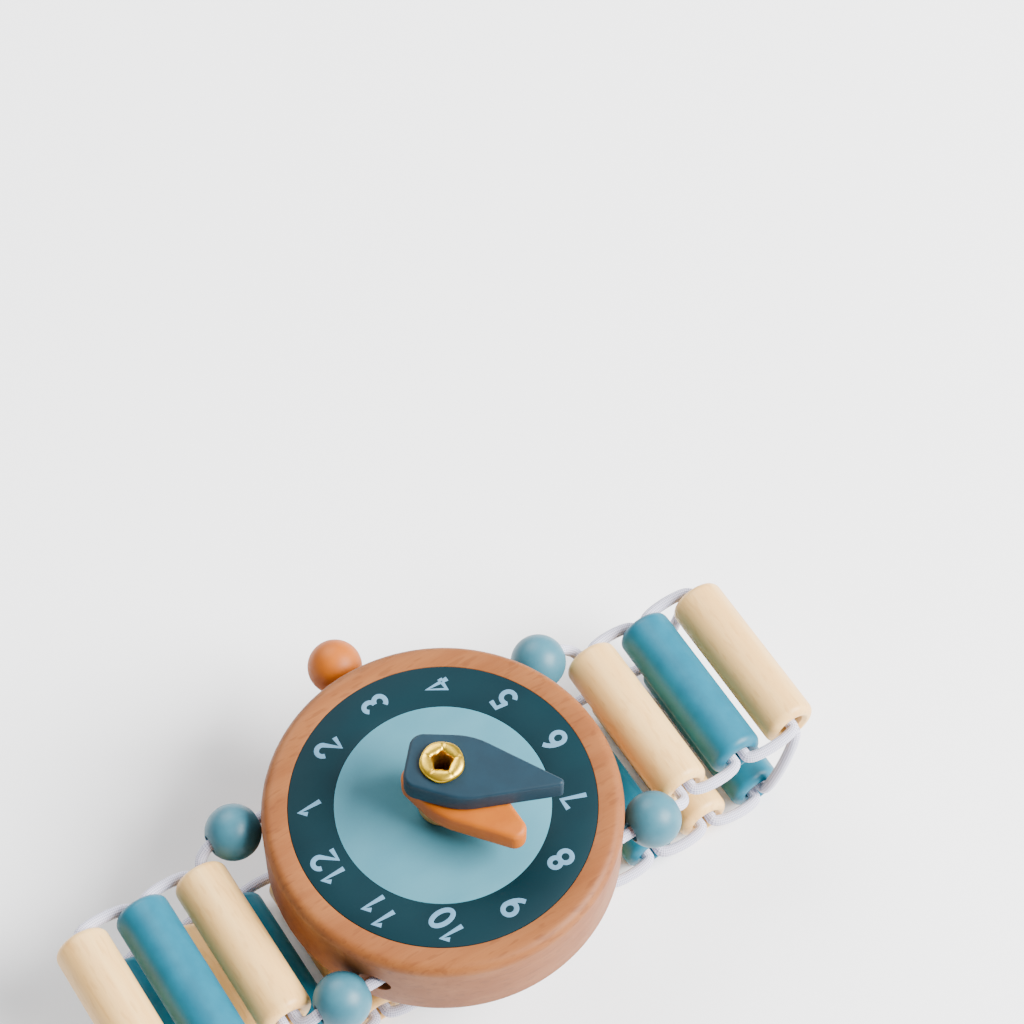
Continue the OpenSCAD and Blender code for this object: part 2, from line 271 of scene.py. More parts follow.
@dataclass(frozen=True)
class Paint:
    """Paint on turned or sawn wood, with the grain showing faintly through it."""

    name: str
    colour: Colour
    shade: Colour
    roughness: float
    coat: float = 0.0
    grain: tuple[float, float, float] = (1, 0, 0)

    def make(self) -> Material:
        """Build the material and return it."""
        fixed = {"Coat Weight": self.coat, "Coat Roughness": 0.3, "Specular IOR Level": 0.25}
        bench = Bench(self.name, fixed)
        cloud = bench.noise([0.35] * 3, detail=3.0, roughness=0.55)
        grain = bench.grain(Vector(self.grain), across=2.4, along=0.12)
        skin = bench.noise([2.2] * 3, detail=1.0)
        tone = bench.mix(cloud.step(0.3, 0.72) * 0.8 + grain * 0.2, self.colour, self.shade)
        gloss = skin.around(self.roughness, spread=0.16)
        return bench.finish(tone, gloss, grain * 0.3 + skin * 0.7, depth=0.006 * MM)


@dataclass(frozen=True)
class Metal:
    """Thin polished brass with fine rubbing marks and duller patches."""

    name: str = "brass"
    colour: Colour = srgb(236, 196, 62)
    shade: Colour = srgb(210, 166, 46)
    roughness: float = 0.3

    def make(self) -> Material:
        """Build the material and return it."""
        bench = Bench(self.name, {"Metallic": 1.0})
        patch = bench.noise([1.1] * 3, detail=3.0, roughness=0.6)
        rub = bench.noise([14.0, 1.2, 3.0])
        tone = bench.mix(patch.step(0.35, 0.7), self.colour, self.shade)
        gloss = patch.around(self.roughness, spread=0.2) + rub * 0.08
        return bench.finish(tone, gloss, rub, depth=0.002 * MM)


@dataclass(frozen=True)
class Elastic:
    """A round elastic cord in a knitted cover, whose ribs follow the piece's own UV map, with painted shade
    in the valleys between them.
    """

    name: str = "elastic"
    colour: Colour = srgb(208, 206, 222)
    valley: Colour = srgb(150, 148, 170)
    rib: float = 0.42 * MM
    turns: int = 7
    roughness: float = 0.8

    def make(self) -> Material:
        """Build the material and return it."""
        bench = Bench(self.name, {"Sheen Weight": 0.35, "Sheen Roughness": 0.5})
        where = bench.node("ShaderNodeUVMap", {"uv_map": "UVMap"}, {})
        turned, along = (bench.node("ShaderNodeSeparateXYZ", {}, {0: where}, part) for part in (0, 1))
        around = turned * (math.tau * self.turns)
        length = along * (math.tau / self.rib)
        thread = (length + around).sine() * (length - around).sine() * 0.5 + 0.5
        fuzz = bench.noise([6.0] * 3)
        # The valleys between the ribs take a darker colour: painted shade.
        tone = bench.mix(thread.step(0.1, 0.75), self.valley, self.colour)
        gloss = fuzz.around(self.roughness, spread=0.2)
        return bench.finish(tone, gloss, thread * 0.8 + fuzz * 0.2, depth=0.05 * MM)


@dataclass(frozen=True)
class Print:
    """Ink printed on sanded wood: matte, with a trace of the grain below."""

    name: str
    colour: Colour
    shade: Colour
    roughness: float = 0.57
    grain: tuple[float, float, float] = (0, 1, 0)

    def make(self) -> Material:
        """Build the material and return it."""
        bench = Bench(self.name, {"Specular IOR Level": 0.1})
        run = Vector(self.grain)
        cloud = bench.grain(run, across=0.2, along=0.12)
        dots = bench.grain(run, across=6.0, along=2.0, detail=1.0)
        tone = bench.mix(cloud.step(0.3, 0.75) * 0.7 + dots * 0.3, self.colour, self.shade)
        return bench.finish(tone, cloud.around(self.roughness, spread=0.1), dots, depth=0.002 * MM)


BIRCH = Timber(
    "birch", srgb(235, 192, 123), srgb(224, 174, 103), srgb(190, 134, 67), fleck_share=0.25, grain=(1, 0, 0),
    roughness=0.42, coat=0.25,
)


def made(finish: Timber | Paint | Metal | Elastic | Print) -> Material:
    """Declare a field that holds the material of a finish."""
    return field(default_factory=finish.make)


@dataclass
class Finishes:
    """All finishes of the watch, each made once."""

    beech: Material = made(Timber(
        "beech", srgb(132, 80, 40), srgb(121, 69, 32), srgb(94, 49, 22), fleck_share=0.35, grain=(0, 1, 0),
        roughness=0.52,
    ))
    birch: Material = made(BIRCH)
    birch_up: Material = made(replace(BIRCH, name="birch_up", grain=(0, 0, 1), roughness=0.5, coat=0.0))
    teal: Material = made(Paint("teal_paint", srgb(14, 100, 122), srgb(10, 88, 109), 0.45, coat=0.06))
    lug_teal: Material = made(
        Paint("lug_paint", srgb(56, 107, 122), srgb(45, 95, 110), 0.46, coat=0.1, grain=(0, 1, 0))
    )
    orange: Material = made(Paint("orange_paint", srgb(169, 89, 10), srgb(156, 78, 8), 0.5))
    slate: Material = made(Paint("slate_paint", srgb(8, 40, 54), srgb(6, 34, 47), 0.55))
    ring_print: Material = made(Print("ring_print", srgb(5, 35, 42), srgb(4, 30, 37)))
    centre_print: Material = made(Print("centre_print", srgb(71, 124, 138), srgb(62, 115, 130)))
    number_print: Material = made(Print("number_print", srgb(90, 130, 154), srgb(80, 120, 146)))
    brass: Material = made(Metal())
    elastic: Material = made(Elastic())


# Modelling helpers


def hold(piece: Piece) -> None:
    """Select a piece alone and make it the active one.

    Args:
        piece: The piece.
    """
    bpy.ops.object.select_all(action="DESELECT")
    piece.select_set(True)
    bpy.context.view_layer.objects.active = piece


def show(name: str, data: bpy.types.ID) -> Piece:
    """Put a new object with its data into the scene.

    Args:
        name: The object's name.
        data: Its mesh, curve, lamp or camera.

    Returns:
        The object.
    """
    thing = bpy.data.objects.new(name, data)
    bpy.context.scene.collection.objects.link(thing)
    return thing


def settle(piece: Piece, name: str) -> Piece:
    """Name a piece and put its place into its mesh.

    Args:
        piece: The new object.
        name: Its name.

    Returns:
        The same object.
    """
    hold(piece)
    bpy.ops.object.transform_apply(location=True, rotation=True, scale=True)
    piece.name = piece.data.name = name
    return piece


def soften(piece: Piece, test: Callable[[Vector], bool], radius: float, steps: int) -> None:
    """Round the edges whose two ends pass a test.

    Args:
        piece: The object in edit mode.
        test: The test of a corner's place.
        radius: The round's radius.
        steps: How many pieces it has.
    """
    bpy.ops.mesh.select_mode(type="EDGE")
    bpy.ops.mesh.select_all(action="DESELECT")
    mesh = bmesh.from_edit_mesh(piece.data)
    for edge in mesh.edges:
        edge.select = all(test(corner.co) for corner in edge.verts)
    mesh.select_flush_mode()
    bmesh.update_edit_mesh(piece.data)
    if any(edge.select for edge in mesh.edges):
        bpy.ops.mesh.bevel(offset=radius, segments=steps, affect="EDGES")


def face_out() -> None:
    """Turn all faces outwards and leave edit mode."""
    bpy.ops.mesh.select_all(action="SELECT")
    bpy.ops.mesh.normals_make_consistent(inside=False)
    bpy.ops.object.mode_set(mode="OBJECT")


def dress(
    piece: Piece, finish: Material, slot: str, body: str = "", nodes: Sequence[str] = (), sharp: float = 40
) -> Piece:
    """Smooth a piece, give it its finish, and hang it on its body.

    Args:
        piece: The finished shape.
        finish: Its material.
        slot: The name of a material slot; not used.
        body: The body that it rides on, or nothing for a piece that bends between two bodies.
        nodes: The nodes that it stands for.
        sharp: The angle, in degrees, above which an edge stays sharp.

    Returns:
        The same object.
    """
    hold(piece)
    bpy.ops.object.shade_smooth_by_angle(angle=math.radians(sharp))
    piece.data.materials.clear()
    piece.data.materials.append(finish)
    if body:
        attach(piece, body)
    if nodes:
        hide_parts(*nodes)
    LOG.info("%s rides on %s", piece.name, body or "two bodies")
    return piece


def drill(
    piece: Piece, radius: float, length: float, centre: Vector, axis: Axis = Axis.UP, sides: int = 40
) -> None:
    """Drill a round hole into a closed piece.

    Args:
        piece: The piece.
        radius: The hole's radius.
        length: The drill's length.
        centre: The drill's middle.
        axis: Its direction.
        sides: How many sides it has.
    """
    bpy.ops.mesh.primitive_cylinder_add(
        vertices=sides, radius=radius, depth=length, location=centre, rotation=axis.value
    )
    cutter = settle(bpy.context.object, "drill")
    hold(piece)
    step = piece.modifiers.new("cut", "BOOLEAN")
    step.object, step.operation, step.solver = cutter, "DIFFERENCE", "EXACT"
    bpy.ops.object.modifier_apply(modifier=step.name)
    bpy.data.objects.remove(cutter)


@dataclass(frozen=True)
class Ring:
    """One ring of a turned piece: its radius, its height along the axis and the round of its edge."""

    radius: float
    height: float
    round: float = 0.0
    steps: int = 4

    def holds(self, corner: Vector) -> bool:
        """Tell whether a corner lies on this ring."""
        return abs(corner.xy.length - self.radius) < NEAR and abs(corner.z - self.height) < NEAR


def turn(
    name: str, rings: Sequence[Ring], centre: Vector = Vector(), axis: Axis = Axis.UP, sides: int = 64
) -> Piece:
    """Turn a closed profile into a piece: a ring is drawn out from one profile point to the next.

    Args:
        name: The piece's name.
        rings: The profile's points, in order.
        centre: Where the profile's origin goes.
        axis: Where the profile's axis points.
        sides: How many sides a ring has.

    Returns:
        The turned piece.
    """
    start = rings[0]
    bpy.ops.mesh.primitive_circle_add(vertices=sides, radius=start.radius, location=(0, 0, start.height))
    piece = settle(bpy.context.object, name)
    bpy.ops.object.mode_set(mode="EDIT")
    bpy.ops.mesh.select_all(action="SELECT")
    for last, ring in zip(rings, [*rings[1:], start]):
        bpy.ops.mesh.extrude_edges_move(TRANSFORM_OT_translate={"value": (0, 0, ring.height - last.height)})
        grow = ring.radius / last.radius
        bpy.ops.transform.resize(value=(grow, grow, 1), center_override=(0, 0, ring.height))
    bpy.ops.mesh.select_all(action="SELECT")
    bpy.ops.mesh.remove_doubles(threshold=NEAR)
    for ring in rings:
        if ring.round:
            soften(piece, ring.holds, ring.round, ring.steps)
    face_out()
    piece.rotation_euler = axis.value
    piece.location = centre
    return settle(piece, name)


def ball(radius: float, start: float, stop: float, steps: int) -> list[Ring]:
    """Give the rings of a ball from one angle off its pole to another."""
    turns = [start + (stop - start) * k / steps for k in range(steps + 1)]
    return [Ring(radius * math.sin(t), radius * math.cos(t)) for t in turns]


def tube(name: str, route: Sequence[Vector], radius: float, sides: int = 16) -> Piece:
    """Sweep a round cord along a route, with a UV map that holds the turn and the length along it.

    Args:
        name: The piece's name.
        route: The points that it follows.
        radius: The cord's radius.
        sides: How many sides it has.

    Returns:
        The cord as a closed mesh.
    """
    count = len(route)
    along = [(route[min(i + 1, count - 1)] - route[max(i - 1, 0)]).normalized() for i in range(count)]
    side = Vector((0, 0, 1)) if abs(along[0].z) < 0.5 else Vector((1, 0, 0))
    turns = [math.tau * k / sides for k in range(sides)]
    mesh = bmesh.new()
    maps = mesh.loops.layers.uv.new("UVMap")
    rings, lengths, total = [], [], 0.0
    for i, (point, ahead) in enumerate(zip(route, along)):
        side = (side - side.dot(ahead) * ahead).normalized()
        other = ahead.cross(side)
        total += (point - route[i - 1]).length if i else 0.0
        lengths.append(total)
        spokes = [math.cos(t) * side + math.sin(t) * other for t in turns]
        rings.append([mesh.verts.new(point + radius * spoke) for spoke in spokes])
    for i in range(count - 1):
        for k in range(sides):
            spots = ((k, i), (k + 1, i), (k + 1, i + 1), (k, i + 1))
            face = mesh.faces.new([rings[row][turned % sides] for turned, row in spots])
            for loop, (turned, row) in zip(face.loops, spots):
                loop[maps].uv = (turned / sides, lengths[row])
    mesh.faces.new(reversed(rings[0]))
    mesh.faces.new(rings[-1])
    data = bpy.data.meshes.new(name)
    mesh.to_mesh(data)
    mesh.free()
    return show(name, data)


# The watch


@dataclass
class Numeral:
    """One printed number, drawn with round-ended strokes of one width."""

    name: str
    text: str
    middle: Vector
    tall: float
    stroke: float
    wide: float = 0.6
    space: float = 0.2
    ink: float = 0.02 * MM
    lift: float = 0.06 * MM
    closed_gap: float = 0.01
    arc_step: float = 12

    def bow(
        self, x: float, y: float, wide: float, high: float, start: float, stop: float
    ) -> list[tuple[float, float]]:
        """Draw a part of an ellipse.

        Args:
            x: Its centre across.
            y: Its centre up.
            wide: Half its width.
            high: Half its height.
            start: The angle where it starts, in degrees.
            stop: The angle where it ends.

        Returns:
            The points.
        """
        count = max(4, int(abs(stop - start) / self.arc_step))
        turns = [math.radians(start + (stop - start) * k / count) for k in range(count + 1)]
        return [(x + wide * math.cos(t), y + high * math.sin(t)) for t in turns]

    def strokes(self, digit: str) -> list[list[tuple[float, float]]]:
        """Give a digit's strokes in a box one high.

        Args:
            digit: The digit.

        Returns:
            The strokes' points.
        """
        bow = self.bow
        six = [bow(0.3, 0.29, 0.26, 0.29, 0, 360), bow(0.62, 0.29, 0.58, 0.78, 180, 114)]
        drawn = {
            "0": [bow(0.3, 0.5, 0.27, 0.5, 0, 360)],
            "1": [[(0.12, 0.74), (0.36, 1.0), (0.36, 0.0)]],
            "2": [bow(0.3, 0.72, 0.26, 0.28, 170, -30) + [(0.04, 0.0), (0.58, 0.0)]],
            "3": [bow(0.28, 0.75, 0.22, 0.25, 150, -90), bow(0.28, 0.25, 0.27, 0.25, 90, -150)],
            "4": [[(0.44, 0.0), (0.44, 1.0), (0.02, 0.28), (0.6, 0.28)]],
            "5": [[(0.54, 1.0), (0.14, 1.0), (0.09, 0.56)] + bow(0.29, 0.3, 0.28, 0.3, 125, -145)],
            "6": six,
            "7": [[(0.04, 1.0), (0.56, 1.0), (0.2, 0.0)]],
            "8": [bow(0.3, 0.77, 0.22, 0.23, 0, 360), bow(0.3, 0.27, 0.27, 0.27, 0, 360)],
            "9": [[(0.6 - x, 1 - y) for x, y in stroke] for stroke in six],
        }
        return drawn[digit]

    def build(self) -> Piece:
        """Draw the strokes as thin rounded lines and return them as one mesh."""
        unit = self.tall - self.stroke
        width = (len(self.text) * (self.wide + self.space) - self.space) * unit
        data = bpy.data.curves.new(self.name, "CURVE")
        data.dimensions, data.bevel_depth, data.bevel_resolution = "3D", self.stroke / 2, 3
        data.use_fill_caps = True
        for place, digit in enumerate(self.text):
            left = place * (self.wide + self.space) * unit - width / 2
            for layer, stroke in enumerate(self.strokes(digit)):
                spline = data.splines.new("POLY")
                closed = math.dist(stroke[0], stroke[-1]) < self.closed_gap
                points = stroke[:-1] if closed else stroke
                spline.use_cyclic_u = closed
                spline.points.add(len(points) - 1)
                for point, (x, y) in zip(spline.points, points):
                    point.co = (left + x * unit, (y - 0.5) * unit, layer * self.lift, 1)
        hold(show(self.name, data))
        bpy.ops.object.convert(target="MESH")
        piece = bpy.context.object
        piece.scale = (1, 1, 2 * self.ink / self.stroke)
        piece.location = self.middle
        return settle(piece, self.name)


@dataclass
class Case:
    """The turned beech case, its printed dial and its numbers."""

    finishes: Finishes
    radius: float = 20 * MM
    thick: float = 10.7 * MM
    rim: float = 1.3 * MM
    dial_r: float = 17 * MM
    centre_r: float = 12 * MM
    print_deep: float = 0.5 * MM
    print_gap: float = 0.04 * MM
    print_soft: float = 0.03 * MM
    pivot_r: float = 1.56 * MM
    head_r: float = 2.82 * MM
    head_deep: float = 0.9 * MM
    hole_r: float = 1.5 * MM
    hole_x: float = 11.8 * MM
    hole_z: float = 5 * MM
    peg_hole_r: float = 1.25 * MM
    peg_hole_deep: float = 5.4 * MM
    peg_z: float = 5.35 * MM
    soft: float = 0.12 * MM
    number_reach: float = 14.5 * MM
    number_tall: float = 3.2 * MM
    number_stroke: float = 0.56 * MM
    hours: int = 12
    sides: int = 160

    def body(self) -> None:
        """Turn the case, and drill the elastic's two holes and the crown peg's blind one."""
        seat = self.thick - self.print_deep
        piece = turn("watch_case", [
            Ring(self.pivot_r, self.head_deep), Ring(self.head_r, self.head_deep),
            Ring(self.head_r, 0, self.soft, 2), Ring(self.radius, 0, self.rim, 8),
            Ring(self.radius, self.thick / 2), Ring(self.radius, self.thick, self.rim, 8),
            Ring(self.dial_r + self.print_gap, self.thick, self.soft, 2),
            Ring(self.dial_r + self.print_gap, seat), Ring(self.pivot_r, seat),
        ], sides=self.sides)
        for end in End:
            middle = Vector((end.value * self.hole_x, 0, self.hole_z))
            drill(piece, self.hole_r, 3 * self.radius, middle, Axis.ALONG)
        mouth = Vector((self.radius - self.peg_hole_deep / 2 + self.rim, 0, self.peg_z))
        drill(piece, self.peg_hole_r, self.peg_hole_deep + 2 * self.rim, mouth, Axis.ACROSS)
        dress(piece, self.finishes.beech, "beech", "watch", ["case"], sharp=30)

    def dial(self) -> None:
        """Lay the dark ring and the pale centre flush into the face."""
        low, high, soft = self.thick - self.print_deep, self.thick, self.print_soft
        dark, pale = self.finishes.ring_print, self.finishes.centre_print
        for name, inner, outer, finish, slot in (
            ("dial_ring", self.centre_r, self.dial_r, dark, "dark_teal_print"),
            ("dial_disc", self.pivot_r, self.centre_r - self.print_gap, pale, "pale_blue_print"),
        ):
            top = [Ring(outer, high, soft, 2), Ring(inner, high, soft, 2)]
            piece = turn(name + "_face", [Ring(inner, low), Ring(outer, low), *top], sides=self.sides)
            dress(piece, finish, slot, "watch", [name])

    def numbers(self) -> None:
        """Print the twelve upright numbers on the dark ring."""
        for hour in range(1, self.hours + 1):
            turned = math.tau * hour / self.hours
            across, up = self.number_reach * math.sin(turned), self.number_reach * math.cos(turned)
            middle = Vector((across, up, self.thick))
            number = Numeral(f"number_{hour:02d}", str(hour), middle, self.number_tall, self.number_stroke)
            dress(number.build(), self.finishes.number_print, "pale_blue_print", "watch")

    def build(self) -> None:
        """Build the case with its dial."""
        self.body()
        self.dial()
        self.numbers()


@dataclass
class Hand:
    """One flat hand with a rounded kite outline, whose angle is in degrees clockwise from 12."""

    node: str
    finish: Material
    slot: str
    reach: float
    low: float
    thick: float
    tip_r: float
    angle: float
    soft: float = 0.42 * MM
    half_w: float = 4 * MM
    tail: float = 3.9 * MM
    corner_r: float = 1.6 * MM
    bore_r: float = 1.56 * MM
    shoulder_share: float = 0.2
    tail_share: float = 0.78

    def arc(self, corners: Sequence[Vector], i: int, radius: float, steps: int = 10) -> list[Vector]:
        """Round one corner of the outline.

        Args:
            corners: All of its corners.
            i: The place of this one among them.
            radius: The round's radius.
            steps: How many pieces it has.

        Returns:
            The points of the arc.
        """
        before, at, after = corners[i - 1], corners[i], corners[(i + 1) % len(corners)]
        to_before, to_after = (before - at).normalized(), (after - at).normalized()
        half = to_before.angle(to_after) / 2
        centre = at + (to_before + to_after).normalized() * radius / math.sin(half)
        start = at + to_before * radius / math.tan(half) - centre
        finish = at + to_after * radius / math.tan(half) - centre
        way = math.copysign(1, start.x * finish.y - start.y * finish.x)
        sweep = way * (math.pi - 2 * half)
        points = []
        for k in range(steps + 1):
            c, s = math.cos(sweep * k / steps), math.sin(sweep * k / steps)
            points.append(centre + Vector((start.x * c - start.y * s, start.x * s + start.y * c)))
        return points

    def outline(self) -> list[Vector]:
        """Return the outline's points, for a hand that points along +Y."""
        tip_c = self.reach - self.tip_r
        shoulder = self.shoulder_share * self.reach
        rise = tip_c - shoulder
        half = math.atan(self.half_w / rise) - math.asin(self.tip_r / math.hypot(self.half_w, rise))
        tail_w = self.tail_share * self.half_w
        corners = [
            Vector((0, tip_c + self.tip_r / math.sin(half))),
            Vector((-self.half_w, shoulder)),
            Vector((-tail_w, -self.tail)),
            Vector((tail_w, -self.tail)),
            Vector((self.half_w, shoulder)),
        ]
        radii = [self.tip_r, 2 * self.half_w, self.corner_r, self.corner_r, 2 * self.half_w]
        return [point for i, radius in enumerate(radii) for point in self.arc(corners, i, radius)]

    def build(self) -> None:
        """Extrude the outline, soften its edges, drill the pivot hole and turn the hand to its time."""
        points = self.outline()
        bpy.ops.mesh.primitive_circle_add(vertices=len(points), radius=self.half_w, fill_type="NGON")
        piece = settle(bpy.context.object, self.node + "_shape")
        for corner, point in zip(piece.data.vertices, points):
            corner.co = (point.x, point.y, self.low)
        bpy.ops.object.mode_set(mode="EDIT")
        bpy.ops.mesh.select_all(action="SELECT")
        bpy.ops.mesh.extrude_region_move(TRANSFORM_OT_translate={"value": (0, 0, self.thick)})
        for height in (self.low, self.low + self.thick):
            soften(piece, lambda corner: abs(corner.z - height) < NEAR, self.soft, 5)
        face_out()
        drill(piece, self.bore_r, 3 * self.thick, Vector((0, 0, self.low)), sides=48)
        piece.rotation_euler.z = -math.radians(self.angle)
        settle(piece, piece.name)
        dress(piece, self.finish, self.slot, self.node, [self.node], sharp=50)


@dataclass
class Pivot:
    """The hollow brass rivet and the wooden ring that lifts the hands."""

    finishes: Finishes
    tube_r: float = 1.5 * MM
    bore_r: float = 0.95 * MM
    head_r: float = 2.7 * MM
    head_low: float = 0.3 * MM
    head_top: float = 0.9 * MM
    petal_z: float = 20.56 * MM
    top: float = 21.16 * MM
    petal_r: float = 2.47 * MM
    petals: int = 5
    hole_wave: float = 0.12
    rim_wave: float = 0.015
    seam_sharp: int = 16
    seam_wide: float = 0.05
    seam_deep: float = 0.12
    seam_fade: float = 0.6
    roll_start: float = 0.08
    roll_full: float = 0.6
    lip_rings: int = 12
    lip_step: float = 0.05 * MM
    spacer_r: float = 2.8 * MM
    spacer_low: float = 10.7 * MM
    spacer_top: float = 14.0 * MM
    spacer_bore: float = 1.56 * MM

    def spacer(self) -> None:
        """Turn the ring under the hands."""
        piece = turn("spacer_ring", [
            Ring(self.spacer_bore, self.spacer_low), Ring(self.spacer_r, self.spacer_low, 0.15 * MM, 2),
            Ring(self.spacer_r, self.spacer_top, 0.3 * MM, 3), Ring(self.spacer_bore, self.spacer_top),
        ])
        dress(piece, self.finishes.birch_up, "natural_wood", "watch", ["hand_spacer"])

    def rolled_lip(self, turned: float, roll: float) -> Vector:
        """Give a point of the rolled end of the rivet.

        Args:
            turned: The angle round the axis.
            roll: How far the lip is rolled, from 0 in the hole to 1 at its outer edge.

        Returns:
            The point.
        """
        swing = math.cos(self.petals * turned)
        seam = max(0.0, -swing) ** self.seam_sharp
        mouth = self.bore_r * (1 + self.hole_wave * (1 - swing) + self.seam_wide * seam)
        outer = self.petal_r * (1 - self.rim_wave * (1 - swing))
        radius = mouth + (outer - mouth) * (1 - math.cos(math.pi * roll)) / 2
        rolled = self.roll_start + (1 - self.roll_start) * roll
        lift = math.sin(math.pi * min(1.0, rolled)) ** self.roll_full
        dip = 1 - self.seam_deep * seam * (1 - self.seam_fade * roll)
        height = self.petal_z + (self.top - self.petal_z) * lift * dip
        return Vector((radius * math.cos(turned), radius * math.sin(turned), height))

    def rivet(self) -> None:
        """Turn the rivet, then roll its upper end into petals.

        The lip's rings are first turned a millimetre apart, so that each is known by its height.
        """
        lip = [Ring(self.bore_r + k * self.lip_step, self.top + k * MM) for k in range(1, self.lip_rings + 2)]
        piece = turn("rivet_tube", [
            Ring(self.bore_r, self.head_low, 0.12 * MM, 2), Ring(self.head_r, self.head_low, 0.2 * MM, 3),
            Ring(self.head_r, self.head_top, 0.15 * MM, 2), Ring(self.tube_r, self.head_top),
            Ring(self.tube_r, self.petal_z), *reversed(lip), Ring(self.bore_r, self.petal_z - 0.4 * MM),
        ], sides=120)
        for corner in piece.data.vertices:
            row = round((corner.co.z - self.top) / MM) - 1
            if row >= 0:
                turned = math.atan2(corner.co.y, corner.co.x)
                corner.co = self.rolled_lip(turned, row / self.lip_rings)
        dress(piece, self.finishes.brass, "brass", "watch", ["rivet"], sharp=60)

    def build(self) -> None:
        """Build the pivot."""
        self.spacer()
        self.rivet()


@dataclass
class Crown:
    """The round crown bead and its peg. A turned end is closed by a tiny ring at its pole."""

    finishes: Finishes
    radius: float = 3.15 * MM
    centre: Vector = field(default_factory=lambda: Vector((23.55 * MM, 0, 5.35 * MM)))
    peg_r: float = 1.2 * MM
    peg_start: float = 14.8 * MM
    peg_end: float = 24.6 * MM
    peg_soft: float = 0.3 * MM
    pole_r: float = 0.01 * MM
    pole_turn: float = 0.02
    steps: int = 26

    def build(self) -> None:
        """Turn the bead with its blind hole, and the peg."""
        mouth = math.pi - math.asin(self.peg_r / self.radius)
        deep = self.peg_end - self.centre.x
        hole = [Ring(self.pole_r, deep), Ring(self.peg_r, deep)]
        rings = ball(self.radius, mouth, self.pole_turn, self.steps) + hole
        piece = turn("crown_ball", rings, self.centre, Axis.ACROSS)
        dress(piece, self.finishes.orange, "orange_paint", "crown", ["crown_bead"])
        peg = turn("crown_dowel", [
            Ring(self.pole_r, self.peg_start), Ring(self.peg_r, self.peg_start, self.peg_soft, 2),
            Ring(self.peg_r, self.peg_end), Ring(self.pole_r, self.peg_end),
        ], Vector((0, 0, self.centre.z)), Axis.ACROSS, sides=32)
        dress(peg, self.finishes.birch, "natural_wood", "crown", ["crown_peg"])


